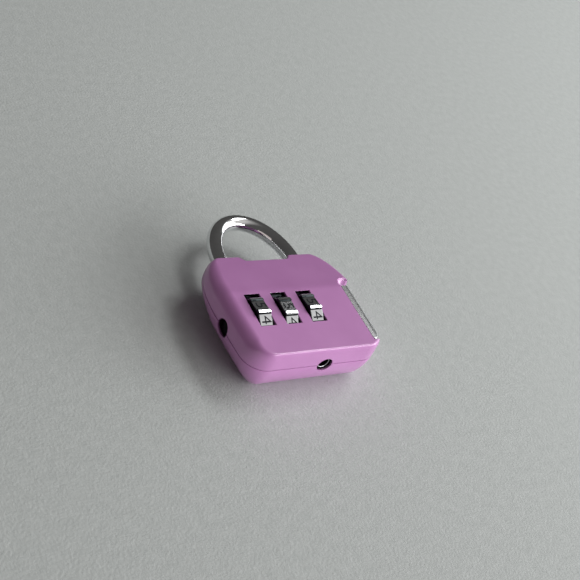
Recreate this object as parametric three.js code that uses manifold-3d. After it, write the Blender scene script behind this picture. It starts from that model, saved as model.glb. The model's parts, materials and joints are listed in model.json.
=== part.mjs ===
// Three-dial luggage padlock, lying on its back.
//
// Lock frame, in millimetres: X runs across the body, Y from the bottom edge to the shackle, Z out of
// the front face. Its origin is where the body's centreline crosses the dial axis, on the parting plane
// between the front and back shells. The whole group is then lifted and shifted so that the back face
// rests on Z = 0 with the object's box centred over the origin.

import * as THREE from 'three';
import { mergeVertices } from 'three/addons/utils/BufferGeometryUtils.js';
import Module from 'manifold-3d';

const wasm = await Module();
wasm.setup();

// ---------------------------------------------------------------- driving dimensions

// Body, seen from the front
const BODY_HALF_WIDTH = 16.4;
const BODY_BOTTOM = -11.5;
const BODY_TOP = 16.1;
const CORNER_RADIUS = 4.9;
const CREASE_Y = 4.9;             // above this line both faces slope towards the shackle
const DIP_DEPTH = 1.3;            // dip in the top edge between the shackle's legs
const DIP_HALF_WIDTH = 4.6;
const COLLAR_INNER = 6.4;         // raised collars round the legs
const COLLAR_OUTER = 11.0;

// Body, from the parting plane outwards
const FRONT_HEIGHT = 4.5;
const FRONT_TOP_HEIGHT = 2.7;
const BACK_DEPTH = 6.7;
const BACK_TOP_DEPTH = 3.8;
const PARTING_GAP = 0.12;

// Edge roll of each half: how far the wall leans in over the half's height, and how late it does so
const FRONT_ROLL = { left: [3.0, 2.0], right: [1.5, 2.8], bottom: [0.8, 6.0], top: [0.6, 5.0] };
const BACK_ROLL = { left: [4.6, 1.5], right: [3.4, 1.9], bottom: [3.5, 2.0], top: [0.9, 4.0] };
const ROLL_LEVELS = [0, 0.3, 0.55, 0.75, 0.88, 0.95, 0.985, 1];

// Clearances
const RUNNING_GAP = 0.3;
const SEAT_GAP = 0.25;

// Dials and their code sleeves, on the spindle
const DIAL_PITCH = 6.0;
const DIAL_MIDDLE_X = -3.5;
const DIAL_COUNT = 3;
const DIGITS = 10;
const DIAL_WIDTH = 2.9;
const DIAL_FLAT_RADIUS = 5.35;
const DIAL_RIDGE_RADIUS = 5.75;
const RIDGE_HALF_ANGLE = 3.6;     // degrees
const TOOTH_FLANK = 2;            // degrees
const DIAL_TURN = [12.9, 21.0, 11.9];   // degrees from a ridge facing out, towards the bottom edge
const POCKET_WIDTH = 3.45;
const POCKET_RADIUS = 6.05;
const CLUTCH_RADIUS = 2.6;
const CLUTCH_SLOT_RADIUS = 3.1;
const CLUTCH_SLOT_HALF_ANGLE = 7;
const SLEEVE_HUB_RADIUS = 2.3;
const SLEEVE_BORE_RADIUS = 1.3;
const CAM_RADIUS = 3.5;
const CAM_WIDTH = 1.0;
const CAM_OFFSET = -2.45;         // cam disc's middle, from its dial's middle
const CAM_NOTCH = 1.1;

const SPINDLE_RADIUS = 1.0;
const SPINDLE_LEFT = -15.2;
const SPINDLE_RIGHT = 9.4;
const SPINDLE_HEAD_RADIUS = 1.5;
const SPINDLE_HEAD_LENGTH = 0.6;
const RESET_HOLE_RADIUS = 1.87;
const RESET_HOLE_END = -13.4;
const SPINDLE_GROOVE_RADIUS = 0.7;
const CLIP_X = 6.7;
const CLIP_WIDTH = 0.6;
const CLIP_RADIUS = 1.75;
const SPINDLE_CHAMBER = { from: 6.1, to: 11.2, radius: 2.1 };

// Shackle
const LEG_X = 8.85;
const ROD_RADIUS = 1.7;
const LEG_BORE_RADIUS = 2.0;
const ARCH_BASE_Y = 16.4;
const ARCH_RISE = 12.3;
const TOE_END = 11.5;
const HEEL_SHOULDER = 6.5;
const HEEL_END = 3.2;
const HEEL_TIP_RADIUS = 1.05;
const HEEL_BORE_END = 2.7;
const TOE_NOTCH = { low: 12.3, high: 13.8, depth: 0.9 };
const HEEL_FLAT = { low: 7.6, high: 14.0, depth: 0.95 };
const STOP_PIN = { x: 10.5, y: 13.3, radius: 0.55, low: -2.2, high: 1.9 };

// Release lever in the right side
const LEVER_POCKET_X = 12.55;
const LEVER_POCKET_LOW = -9.9;
const LEVER_POCKET_HIGH = 5.6;
const LEVER_POCKET_FLOOR = -2.1;
const LEVER_SCOOP = { x: 14.3, y: 5.4, z: 4.7, radius: 1.9 };   // lets a fingertip reach the lever's end
const LEVER_NOTCH = { x: 16.0, y: 5.6, radius: 1.2 };           // rounds the body's edge beside it
const LEVER_LEFT = 12.85;
const LEVER_RIGHT = 15.5;
const LEVER_LOW = -9.5;
const LEVER_HIGH = 5.2;
const LEVER_BACK = -1.8;
const LEVER_FRONT = 4.1;
const LEVER_ROLL = 1.7;
const LEVER_PIVOT = { x: 13.9, y: -7.0, radius: 0.45, low: -2.9, high: 2.4 };
const DRIVE_PIN = { x: 11.7, y: 3.9, radius: 0.5, high: -0.7 };

// Lock bar, a plate behind the dials
const BAR_BACK = -3.1;
const BAR_FRONT = -2.3;
const BAR_CHANNEL_BACK = -3.35;
const BAR_TRAVEL = 1.2;

// Small parts
const DETENT_Y = -7.15;
const DETENT_THICKNESS = 0.3;
const DETENT_TIP_Y = -6.05;
const BOTTOM_HOLE = { x: 1.65, radius: 1.7, end: -7.6 };
const BOTTOM_PIN = { radius: 1.4, low: -10.9, high: -7.7 };
const RIVETS = [
  { x: -6.5, y: -5.1, seat: -5.95 },
  { x: 7.4, y: -5.1, seat: -5.95 },
  { x: 3.4, y: 12.0, seat: -3.9 },
];
const RIVET_RADIUS = 0.7;
const RIVET_HEAD_RADIUS = 1.4;
const RIVET_HEAD_HEIGHT = 0.5;
const RIVET_FRONT = 1.6;

// ---------------------------------------------------------------- materials

const finish = (color, roughness, metalness) => (name) => (
  new THREE.MeshStandardMaterial({ name, color, roughness, metalness })
);
const paint = finish(0xc583c0, 0.3, 0.1);
const chrome = finish(0xd8d9dc, 0.12, 1);
const silver = finish(0xb9bcc2, 0.25, 1);
const steel = finish(0x9a9ca0, 0.4, 1);
const blackSteel = finish(0x1c1c1f, 0.45, 0.6);
const brass = finish(0xc9a24e, 0.35, 1);

// ---------------------------------------------------------------- solids

const radians = THREE.MathUtils.degToRad;

function solid(geometry) {
  const bare = geometry.clone();
  bare.deleteAttribute('normal');
  bare.deleteAttribute('uv');
  const welded = mergeVertices(bare, 1e-5);
  return new wasm.Manifold(new wasm.Mesh({
    numProp: 3,
    vertProperties: new Float32Array(welded.attributes.position.array),
    triVerts: new Uint32Array(welded.index.array),
  }));
}

function surface(manifold) {
  const mesh = manifold.getMesh();
  const geometry = new THREE.BufferGeometry();
  geometry.setAttribute('position', new THREE.BufferAttribute(mesh.vertProperties, 3));
  geometry.setIndex(new THREE.BufferAttribute(mesh.triVerts, 1));
  geometry.computeVertexNormals();
  return geometry;
}

const join = (parts) => parts.reduce((whole, part) => whole.add(part));
const cut = (whole, cutters) => cutters.reduce((rest, cutter) => rest.subtract(cutter), whole);

// A box between two corners
function box(low, high) {
  const size = high.map((value, i) => value - low[i]);
  const middle = high.map((value, i) => (value + low[i]) / 2);
  return new THREE.BoxGeometry(...size).translate(...middle);
}

// Round bars along each axis, between two ends
function barX(radius, from, to, y = 0, z = 0, sides = 24) {
  return new THREE.CylinderGeometry(radius, radius, to - from, sides)
    .rotateZ(Math.PI / 2)
    .translate((from + to) / 2, y, z);
}

function barY(radius, from, to, x, z = 0, sides = 24) {
  return new THREE.CylinderGeometry(radius, radius, to - from, sides).translate(x, (from + to) / 2, z);
}

function barZ(radius, from, to, x, y, sides = 24) {
  return new THREE.CylinderGeometry(radius, radius, to - from, sides)
    .rotateX(Math.PI / 2)
    .translate(x, y, (from + to) / 2);
}

// A coil of round wire about the Z axis, from z = 0 to z = length
function coil(radius, wireRadius, turns, length, stepsPerTurn = 8) {
  const steps = Math.round(turns * stepsPerTurn);
  const points = [];
  for (let i = 0; i <= steps; i += 1) {
    const angle = (i / steps) * turns * 2 * Math.PI;
    const rise = wireRadius + (i / steps) * (length - 2 * wireRadius);
    points.push(new THREE.Vector3(radius * Math.cos(angle), radius * Math.sin(angle), rise));
  }
  const section = new THREE.Shape().absarc(0, 0, wireRadius, 0, 2 * Math.PI);
  return new THREE.ExtrudeGeometry(section, {
    steps,
    curveSegments: 3,
    extrudePath: new THREE.CatmullRomCurve3(points),
  });
}

const group = new THREE.Group();

function add(name, geometry, material) {
  const mesh = new THREE.Mesh(geometry, material(name));
  mesh.name = name;
  group.add(mesh);
  return mesh;
}

// ---------------------------------------------------------------- body outline and lofted halves

// The right half of the outline on the parting plane, from the bottom edge's middle to the top edge's
function rightOutline() {
  const cornerX = BODY_HALF_WIDTH - 0.5 - CORNER_RADIUS;
  const cornerY = BODY_BOTTOM + CORNER_RADIUS;
  const cornerEnd = radians(-5);
  const wallX = cornerX + CORNER_RADIUS * Math.cos(cornerEnd);
  const wallY = cornerY + CORNER_RADIUS * Math.sin(cornerEnd);
  const dipY = BODY_TOP - DIP_DEPTH;
  const dipMiddle = (COLLAR_INNER + DIP_HALF_WIDTH) / 2;

  const corner = new THREE.Path().absarc(cornerX, cornerY, CORNER_RADIUS, -Math.PI / 2, cornerEnd, false);
  const wall = new THREE.CubicBezierCurve(
    new THREE.Vector2(wallX, wallY),
    new THREE.Vector2(wallX + 0.32, wallY + 3.7),
    new THREE.Vector2(BODY_HALF_WIDTH, CREASE_Y - 3.5),
    new THREE.Vector2(BODY_HALF_WIDTH, CREASE_Y),
  );
  const shoulder = new THREE.CubicBezierCurve(
    new THREE.Vector2(BODY_HALF_WIDTH, CREASE_Y),
    new THREE.Vector2(BODY_HALF_WIDTH, CREASE_Y + 5.7),
    new THREE.Vector2(COLLAR_OUTER + 3.3, BODY_TOP),
    new THREE.Vector2(COLLAR_OUTER, BODY_TOP),
  );
  const dip = new THREE.CubicBezierCurve(
    new THREE.Vector2(COLLAR_INNER, BODY_TOP),
    new THREE.Vector2(dipMiddle, BODY_TOP),
    new THREE.Vector2(dipMiddle, dipY),
    new THREE.Vector2(DIP_HALF_WIDTH, dipY),
  );
  return [
    ...corner.getPoints(8),
    ...wall.getPoints(5).slice(1),
    ...shoulder.getPoints(10).slice(1),
    ...dip.getPoints(5),
  ];
}

// The whole outline, anticlockwise, each point with its outward normal and how far it faces sideways
function bodyOutline() {
  const right = rightOutline();
  const left = right.map((point) => new THREE.Vector2(-point.x, point.y)).reverse();
  const points = [...right, ...left];
  return points.map((point, i) => {
    const before = points[(i + points.length - 1) % points.length];
    const after = points[(i + 1) % points.length];
    const along = after.clone().sub(before).normalize();
    const onCrease = Math.abs(point.y - CREASE_Y) < 1e-6;
    const normal = onCrease
      ? new THREE.Vector2(Math.sign(point.x), 0)
      : new THREE.Vector2(along.y, -along.x);
    const side = Math.abs(point.x) > COLLAR_OUTER - 1 ? normal.x ** 2 : 0;
    return { point, normal, side, low: point.y < 0, right: point.x > 0 };
  });
}

// How far a wall leans in at level t, from 0 on the parting plane to 1 at the face
function lean(corner, roll, t) {
  const [endReach, endPower] = corner.low ? roll.bottom : roll.top;
  const [sideReach, sidePower] = corner.right ? roll.right : roll.left;
  const reach = THREE.MathUtils.lerp(endReach, sideReach, corner.side);
  const power = THREE.MathUtils.lerp(endPower, sidePower, corner.side);
  return reach * (1 - (1 - t ** power) ** (1 / power));
}

// One half of the body: rings of the leaning outline, closed by a flat on the parting plane and by a
// face that bends along the crease
function bodyHalf(direction, height, topHeight, roll) {
  const outline = bodyOutline();
  const count = outline.length;
  const slope = (height - topHeight) / (BODY_TOP - CREASE_Y);
  const heightAt = (y) => height - slope * Math.max(0, y - CREASE_Y);
  const positions = [];
  for (const t of ROLL_LEVELS) {
    for (const corner of outline) {
      const inset = lean(corner, roll, t);
      const x = corner.point.x - corner.normal.x * inset;
      const y = corner.point.y - corner.normal.y * inset;
      const start = PARTING_GAP / 2;
      positions.push(x, y, direction * (start + t * (heightAt(y) - start)));
    }
  }

  const faces = [];
  const face = (a, b, c) => faces.push(...(direction > 0 ? [a, b, c] : [a, c, b]));
  for (let level = 0; level + 1 < ROLL_LEVELS.length; level += 1) {
    for (let i = 0; i < count; i += 1) {
      const next = (i + 1) % count;
      const lower = level * count;
      const upper = lower + count;
      face(lower + i, lower + next, upper + next);
      face(lower + i, upper + next, upper + i);
    }
  }

  const fill = (ring, members, outward) => {
    const flat = members.map((i) => {
      const start = 3 * (ring + i);
      return new THREE.Vector2(positions[start], positions[start + 1]);
    });
    for (const [a, b, c] of THREE.ShapeUtils.triangulateShape(flat, [])) {
      const corners = [a, b, c].map((k) => ring + members[k]);
      face(...(outward ? corners : corners.reverse()));
    }
  };
  const all = outline.map((corner, i) => i);
  const top = (ROLL_LEVELS.length - 1) * count;
  const isBelow = (i) => outline[i].point.y <= CREASE_Y + 1e-6;
  const isAbove = (i) => outline[i].point.y >= CREASE_Y - 1e-6;
  fill(0, all, false);
  fill(top, all.filter(isBelow), true);
  fill(top, all.filter(isAbove), true);

  const geometry = new THREE.BufferGeometry();
  geometry.setAttribute('position', new THREE.Float32BufferAttribute(positions, 3));
  geometry.setIndex(faces);
  return solid(geometry);
}

// ---------------------------------------------------------------- hollows inside the body

const dialX = Array.from({ length: DIAL_COUNT }, (_, i) => DIAL_MIDDLE_X + (i - 1) * DIAL_PITCH);
const dialLeft = dialX[0] - POCKET_WIDTH / 2;
const dialRight = dialX[DIAL_COUNT - 1] + POCKET_WIDTH / 2;

function dialHollows() {
  const pockets = dialX.map((x) => barX(POCKET_RADIUS, x - POCKET_WIDTH / 2, x + POCKET_WIDTH / 2, 0, 0, 40));
  const camBore = barX(CAM_RADIUS + RUNNING_GAP, dialX[0] + CAM_OFFSET - 0.8, dialRight - 0.1, 0, 0, 32);
  const spindleBore = barX(SPINDLE_RADIUS + RUNNING_GAP, RESET_HOLE_END - 0.1, CLIP_X);
  const resetHole = barX(RESET_HOLE_RADIUS, -BODY_HALF_WIDTH - 1, RESET_HOLE_END, 0, 0, 32);
  const { from, to, radius } = SPINDLE_CHAMBER;
  const detentChannel = box(
    [dialLeft, DETENT_Y - DETENT_THICKNESS - RUNNING_GAP, -1.8],
    [dialRight, -POCKET_RADIUS + 0.6, 1.8],
  );
  return [...pockets, camBore, spindleBore, resetHole, barX(radius, from, to), detentChannel];
}

function shackleHollows() {
  const above = BODY_TOP + 1;
  const g = SEAT_GAP;
  return [
    barY(LEG_BORE_RADIUS, TOE_END - 0.5, above, -LEG_X),
    barY(LEG_BORE_RADIUS, HEEL_BORE_END, above, LEG_X),
    barZ(STOP_PIN.radius + g, STOP_PIN.low - g, STOP_PIN.high + g, STOP_PIN.x, STOP_PIN.y, 16),
  ];
}

function leverHollows() {
  const outside = BODY_HALF_WIDTH + 2;
  const above = FRONT_HEIGHT + 1;
  const { x, y, z, radius } = LEVER_SCOOP;
  return [
    box([LEVER_POCKET_X, LEVER_POCKET_LOW, LEVER_POCKET_FLOOR], [outside, LEVER_POCKET_HIGH, above]),
    new THREE.SphereGeometry(radius, 24, 16).translate(x, y, z),
    barZ(LEVER_NOTCH.radius, LEVER_POCKET_FLOOR, above, LEVER_NOTCH.x, LEVER_NOTCH.y),
    box(
      [DRIVE_PIN.x - 1.1, DRIVE_PIN.y - 1.3, LEVER_POCKET_FLOOR],
      [LEVER_POCKET_X + 0.1, DRIVE_PIN.y + 1.3, 0.4],
    ),
    barZ(LEVER_PIVOT.radius + 0.2, LEVER_PIVOT.low - 0.1, 0, LEVER_PIVOT.x, LEVER_PIVOT.y, 16),
  ];
}

// The lock bar's plate from above: a strip over the dials, a riser beside the toe leg and a tail that
// runs down to the lever
const BAR_STRIP = { right: 12.4, low: 7.0, high: 9.0 };
const BAR_RISER = { left: -6.85, right: -4.7, high: 13.6 };
const BAR_TAIL = { left: 10.4, right: 12.9, low: 2.7 };
const BAR_NOSE = { low: 12.5, front: 0.6 };
const FINGER_LOW = 3.1;
const FINGER_WIDTH = 0.7;
const fingerLeft = dialX.map((x) => x + CAM_OFFSET - CAM_WIDTH / 2 - FINGER_WIDTH - 0.45);

function barHollows() {
  const low = BAR_CHANNEL_BACK;
  const high = LEVER_POCKET_FLOOR;
  const g = RUNNING_GAP;
  const reach = BAR_TRAVEL + 0.2;
  return [
    box([fingerLeft[0] - 2 * g, BAR_STRIP.low - g, low], [BAR_STRIP.right + reach, BAR_STRIP.high + g, high]),
    box([BAR_RISER.left - g, BAR_STRIP.low, low], [BAR_RISER.right + reach, BAR_RISER.high + g, high]),
    box([BAR_RISER.left - g, BAR_NOSE.low - g, low],
      [BAR_RISER.right + reach, BAR_RISER.high + g, BAR_NOSE.front + g]),
    box([BAR_TAIL.left - g, BAR_TAIL.low - g, low], [BAR_TAIL.right + reach, BAR_STRIP.low + g, high]),
    ...fingerLeft.map((x) => (
      box([x - g, FINGER_LOW - g, low], [x + FINGER_WIDTH + reach, BAR_STRIP.low, high])
    )),
    barX(1.35, BAR_RISER.right + 0.1, -0.4, 11.2, -2.75, 16),
  ];
}

function fastenerHollows() {
  const headRadius = RIVET_HEAD_RADIUS + SEAT_GAP;
  const shankRadius = RIVET_RADIUS + SEAT_GAP;
  const heads = RIVETS.map(({ x, y, seat }) => barZ(headRadius, -BACK_DEPTH - 1, seat, x, y));
  const shanks = RIVETS.map(({ x, y }) => barZ(shankRadius, -BACK_DEPTH, RIVET_FRONT + SEAT_GAP, x, y, 16));
  return [...heads, ...shanks, barY(BOTTOM_HOLE.radius, BODY_BOTTOM - 1, BOTTOM_HOLE.end, BOTTOM_HOLE.x)];
}

const hollows = [
  ...dialHollows(),
  ...shackleHollows(),
  ...leverHollows(),
  ...barHollows(),
  ...fastenerHollows(),
].map(solid);

// ---------------------------------------------------------------- shells

const frontHalf = bodyHalf(1, FRONT_HEIGHT, FRONT_TOP_HEIGHT, FRONT_ROLL);
const backHalf = bodyHalf(-1, BACK_DEPTH, BACK_TOP_DEPTH, BACK_ROLL);
add('front_shell', surface(cut(frontHalf, hollows)), paint);
add('back_shell', surface(cut(backHalf, hollows)), paint);

// ---------------------------------------------------------------- shackle

// The rod's centreline: toe leg, elliptical arch, heel leg
class ShackleLine extends THREE.Curve {
  getPoint(t, target = new THREE.Vector3()) {
    const toe = ARCH_BASE_Y - TOE_END;
    const heel = ARCH_BASE_Y - HEEL_SHOULDER;
    const arch = Math.PI * (LEG_X + ARCH_RISE) / 2;
    const along = t * (toe + arch + heel);
    if (along < toe) return target.set(-LEG_X, TOE_END + along, 0);
    if (along > toe + arch) return target.set(LEG_X, ARCH_BASE_Y - (along - toe - arch), 0);
    const angle = Math.PI * (1 - (along - toe) / arch);
    return target.set(LEG_X * Math.cos(angle), ARCH_BASE_Y + ARCH_RISE * Math.sin(angle), 0);
  }
}

function shackle() {
  const section = new THREE.Shape().absarc(0, 0, ROD_RADIUS, 0, 2 * Math.PI);
  const rod = new THREE.ExtrudeGeometry(section, {
    steps: 40,
    curveSegments: 10,
    extrudePath: new ShackleLine(),
  });
  const tip = barY(HEEL_TIP_RADIUS, HEEL_END, HEEL_SHOULDER + 0.5, LEG_X, 0, 18);
  const notch = box(
    [-LEG_X + ROD_RADIUS - TOE_NOTCH.depth, TOE_NOTCH.low, -ROD_RADIUS - 1],
    [-LEG_X + ROD_RADIUS + 1, TOE_NOTCH.high, ROD_RADIUS + 1],
  );
  const flat = box(
    [LEG_X + ROD_RADIUS - HEEL_FLAT.depth, HEEL_FLAT.low, -ROD_RADIUS - 1],
    [LEG_X + ROD_RADIUS + 1, HEEL_FLAT.high, ROD_RADIUS + 1],
  );
  return cut(solid(rod).add(solid(tip)), [solid(notch), solid(flat)]);
}

add('shackle', surface(shackle()), chrome);
add('shackle_stop_pin',
  barZ(STOP_PIN.radius, STOP_PIN.low, STOP_PIN.high, STOP_PIN.x, STOP_PIN.y, 16), steel);

const heelSpring = add('shackle_spring', coil(1.48, 0.18, 4, HEEL_SHOULDER - HEEL_BORE_END - 0.2), steel);
heelSpring.rotation.x = -Math.PI / 2;
heelSpring.position.set(LEG_X, HEEL_BORE_END + 0.1, 0);

// ---------------------------------------------------------------- dials and code sleeves

// A toothed ring's outline: ten teeth that reach from one radius to another
function ringPath(path, lowRadius, highRadius, halfAngle, teeth) {
  const pitch = 360 / teeth;
  const corners = [];
  const corner = (radius, degrees) => {
    const angle = radians(degrees);
    corners.push(new THREE.Vector2(radius * Math.cos(angle), radius * Math.sin(angle)));
  };
  for (let i = 0; i < teeth; i += 1) {
    corner(lowRadius, i * pitch - halfAngle - TOOTH_FLANK);
    corner(highRadius, i * pitch - halfAngle);
    corner(highRadius, i * pitch + halfAngle);
    corner(lowRadius, i * pitch + halfAngle + TOOTH_FLANK);
  }
  return path.setFromPoints(corners);
}

// Extrudes a shape to a plate of the given width, centred on the X axis and square to it
function plateX(shape, width, middle = 0, curveSegments = 16) {
  return new THREE.ExtrudeGeometry(shape, { depth: width, bevelEnabled: false, curveSegments })
    .translate(0, 0, middle - width / 2)
    .rotateY(Math.PI / 2);
}

function dial() {
  const ring = new THREE.Shape();
  ringPath(ring, DIAL_FLAT_RADIUS, DIAL_RIDGE_RADIUS, RIDGE_HALF_ANGLE, DIGITS);
  const bore = ringPath(new THREE.Path(), CLUTCH_RADIUS, CLUTCH_SLOT_RADIUS, CLUTCH_SLOT_HALF_ANGLE, DIGITS);
  ring.holes.push(bore);
  return plateX(ring, DIAL_WIDTH);
}

// A hub that the dial turns on, one key that stands in a clutch slot, and the cam disc with its notch
function codeSleeve() {
  const bore = () => new THREE.Path().absarc(0, 0, SLEEVE_BORE_RADIUS, 0, 2 * Math.PI);
  const hubShape = new THREE.Shape().absarc(0, 0, SLEEVE_HUB_RADIUS, 0, 2 * Math.PI);
  hubShape.holes.push(bore());
  const camShape = new THREE.Shape().absarc(0, 0, CAM_RADIUS, 0, 2 * Math.PI);
  camShape.holes.push(bore());
  const hubLeft = CAM_OFFSET - CAM_WIDTH / 2;
  const hubRight = DIAL_WIDTH / 2;
  const hub = plateX(hubShape, hubRight - hubLeft, (hubLeft + hubRight) / 2);
  const cam = plateX(camShape, CAM_WIDTH, CAM_OFFSET);
  const key = box([-1, -0.2, CLUTCH_RADIUS - 0.6], [1, 0.2, CLUTCH_SLOT_RADIUS - RUNNING_GAP]);
  const notch = box(
    [hubLeft - 1, -CAM_NOTCH / 2, CAM_RADIUS - 0.9],
    [CAM_OFFSET + CAM_WIDTH / 2 + 0.05, CAM_NOTCH / 2, CAM_RADIUS + 1],
  );
  return cut(join([solid(hub), solid(cam), solid(key)]), [solid(notch)]);
}

dialX.forEach((x, i) => {
  for (const [name, geometry, material] of [
    [`dial_${i + 1}`, dial(), silver],
    [`code_sleeve_${i + 1}`, surface(codeSleeve()), brass],
  ]) {
    const mesh = add(name, geometry, material);
    mesh.position.x = x;
    mesh.rotation.x = radians(DIAL_TURN[i]);
  }
});

// ---------------------------------------------------------------- spindle

function spindle() {
  const shaft = barX(SPINDLE_RADIUS, SPINDLE_LEFT, SPINDLE_RIGHT);
  const head = barX(SPINDLE_HEAD_RADIUS, SPINDLE_LEFT, SPINDLE_LEFT + SPINDLE_HEAD_LENGTH);
  const grooveLeft = CLIP_X - CLIP_WIDTH / 2 - 0.1;
  const grooveRight = CLIP_X + CLIP_WIDTH / 2 + 0.1;
  const around = solid(barX(SPINDLE_RADIUS + 1, grooveLeft, grooveRight));
  const core = solid(barX(SPINDLE_GROOVE_RADIUS, grooveLeft - 1, grooveRight + 1));
  return solid(shaft).add(solid(head)).subtract(around.subtract(core));
}

function spindleClip() {
  const shape = new THREE.Shape().absarc(0, 0, CLIP_RADIUS, 0, 2 * Math.PI);
  shape.holes.push(new THREE.Path().absarc(0, 0, SPINDLE_RADIUS - 0.1, 0, 2 * Math.PI));
  const ring = solid(plateX(shape, CLIP_WIDTH, CLIP_X, 12));
  const mouthHalf = SPINDLE_RADIUS - 0.3;
  const mouth = box([CLIP_X - 1, 0, -mouthHalf], [CLIP_X + 1, CLIP_RADIUS + 1, mouthHalf]);
  return ring.subtract(solid(mouth));
}

add('spindle', surface(spindle()), blackSteel);
add('spindle_clip', surface(spindleClip()), steel);

const clipRight = CLIP_X + CLIP_WIDTH / 2;
const spindleSpring = add('spindle_spring', coil(1.5, 0.18, 5, SPINDLE_CHAMBER.to - clipRight - 0.3), steel);
spindleSpring.rotation.y = Math.PI / 2;
spindleSpring.position.x = clipRight + 0.15;

// ---------------------------------------------------------------- lock bar

function lockBar() {
  const plate = (left, low, right, high) => solid(box([left, low, BAR_BACK], [right, high, BAR_FRONT]));
  const strip = plate(fingerLeft[0], BAR_STRIP.low, BAR_STRIP.right, BAR_STRIP.high);
  const riser = plate(BAR_RISER.left, BAR_STRIP.low, BAR_RISER.right, BAR_RISER.high);
  const tail = plate(BAR_TAIL.left, BAR_TAIL.low, BAR_TAIL.right, BAR_STRIP.low);
  const bend = plate(BAR_TAIL.left, BAR_TAIL.low, BAR_STRIP.right, BAR_STRIP.high);
  const nose = solid(box(
    [BAR_RISER.left, BAR_NOSE.low, BAR_BACK],
    [BAR_RISER.right, BAR_RISER.high, BAR_NOSE.front],
  ));
  const fingers = fingerLeft.map((x) => plate(x, FINGER_LOW, x + FINGER_WIDTH, BAR_STRIP.high));
  const slot = solid(box(
    [DRIVE_PIN.x - DRIVE_PIN.radius - RUNNING_GAP, DRIVE_PIN.y - DRIVE_PIN.radius - 0.45, BAR_BACK - 1],
    [DRIVE_PIN.x + DRIVE_PIN.radius + RUNNING_GAP, DRIVE_PIN.y + DRIVE_PIN.radius + 0.45, BAR_FRONT + 1],
  ));
  return join([strip, riser, tail, bend, nose, ...fingers]).subtract(slot);
}

add('lock_bar', surface(lockBar()), steel);

const latchSpring = add('latch_spring', coil(0.85, 0.15, 5, 3.8), steel);
latchSpring.rotation.y = Math.PI / 2;
latchSpring.position.set(BAR_RISER.right + 0.15, 11.2, -2.75 + 0.35);

// ---------------------------------------------------------------- release lever

// The lever from above: a straight inner edge, and an outer edge that follows the body's side
function leverOutline() {
  const shape = new THREE.Shape();
  shape.moveTo(LEVER_LEFT + 0.5, LEVER_LOW);
  shape.lineTo(LEVER_RIGHT - 1.9, LEVER_LOW);
  shape.quadraticCurveTo(LEVER_RIGHT - 1.0, LEVER_LOW + 0.6, LEVER_RIGHT - 0.6, LEVER_LOW + 2.4);
  shape.bezierCurveTo(LEVER_RIGHT - 0.3, -5.0, LEVER_RIGHT, -1.0, LEVER_RIGHT, LEVER_HIGH - 0.6);
  shape.quadraticCurveTo(LEVER_RIGHT, LEVER_HIGH, LEVER_RIGHT - 0.6, LEVER_HIGH);
  shape.lineTo(LEVER_LEFT + 0.5, LEVER_HIGH);
  shape.quadraticCurveTo(LEVER_LEFT, LEVER_HIGH, LEVER_LEFT, LEVER_HIGH - 0.5);
  shape.lineTo(LEVER_LEFT, LEVER_LOW + 0.8);
  shape.quadraticCurveTo(LEVER_LEFT, LEVER_LOW, LEVER_LEFT + 0.5, LEVER_LOW);
  return shape;
}

// Rolls the lever's outer front edge: everything outside a large cylinder along the edge is cut off
function leverEdgeCutter() {
  const flatEnd = LEVER_RIGHT - LEVER_ROLL;
  const shape = new THREE.Shape();
  shape.moveTo(LEVER_RIGHT + 1, LEVER_FRONT + 1);
  shape.lineTo(flatEnd, LEVER_FRONT + 1);
  shape.lineTo(flatEnd, LEVER_FRONT);
  shape.absarc(flatEnd, LEVER_FRONT - LEVER_ROLL, LEVER_ROLL, Math.PI / 2, 0, true);
  shape.lineTo(LEVER_RIGHT + 1, LEVER_FRONT - LEVER_ROLL);
  const length = LEVER_HIGH - LEVER_LOW + 4;
  return new THREE.ExtrudeGeometry(shape, { depth: length, bevelEnabled: false, curveSegments: 8 })
    .rotateX(Math.PI / 2)
    .translate(0, LEVER_HIGH + 2, 0);
}

function releaseLever() {
  const bar = new THREE.ExtrudeGeometry(leverOutline(), {
    depth: LEVER_FRONT - LEVER_BACK,
    bevelEnabled: false,
    curveSegments: 6,
  }).translate(0, 0, LEVER_BACK);
  const arm = box(
    [DRIVE_PIN.x - 0.9, DRIVE_PIN.y - 1.0, LEVER_BACK],
    [LEVER_LEFT + 0.3, DRIVE_PIN.y + 1.0, 0.1],
  );
  const pivotHole = barZ(
    LEVER_PIVOT.radius + SEAT_GAP, LEVER_BACK - 1, LEVER_PIVOT.high + 0.2, LEVER_PIVOT.x, LEVER_PIVOT.y, 16,
  );
  const driveHole = barZ(
    DRIVE_PIN.radius + 0.1, LEVER_BACK - 1, DRIVE_PIN.high + 0.1, DRIVE_PIN.x, DRIVE_PIN.y, 16,
  );
  return cut(solid(bar).add(solid(arm)), [leverEdgeCutter(), pivotHole, driveHole].map(solid));
}

add('release_lever', surface(releaseLever()), chrome);
add('lever_drive_pin', barZ(DRIVE_PIN.radius, BAR_BACK, DRIVE_PIN.high, DRIVE_PIN.x, DRIVE_PIN.y, 16), steel);
add('lever_pivot_pin',
  barZ(LEVER_PIVOT.radius, LEVER_PIVOT.low, LEVER_PIVOT.high, LEVER_PIVOT.x, LEVER_PIVOT.y, 16), steel);

// ---------------------------------------------------------------- detent spring and fasteners

// A flat strip under the dials with one raised finger for each
function detentSpring() {
  const strip = box([dialLeft + 0.3, DETENT_Y - DETENT_THICKNESS / 2, -1.4],
    [dialRight - 0.3, DETENT_Y + DETENT_THICKNESS / 2, 1.4]);
  const bumpShape = new THREE.Shape();
  bumpShape.moveTo(-1.2, DETENT_Y);
  bumpShape.lineTo(1.2, DETENT_Y);
  bumpShape.lineTo(0.35, DETENT_TIP_Y);
  bumpShape.lineTo(-0.35, DETENT_TIP_Y);
  const bumps = dialX.map((x) => plateX(bumpShape, 1.6, x));
  return join([strip, ...bumps].map(solid));
}

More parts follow.
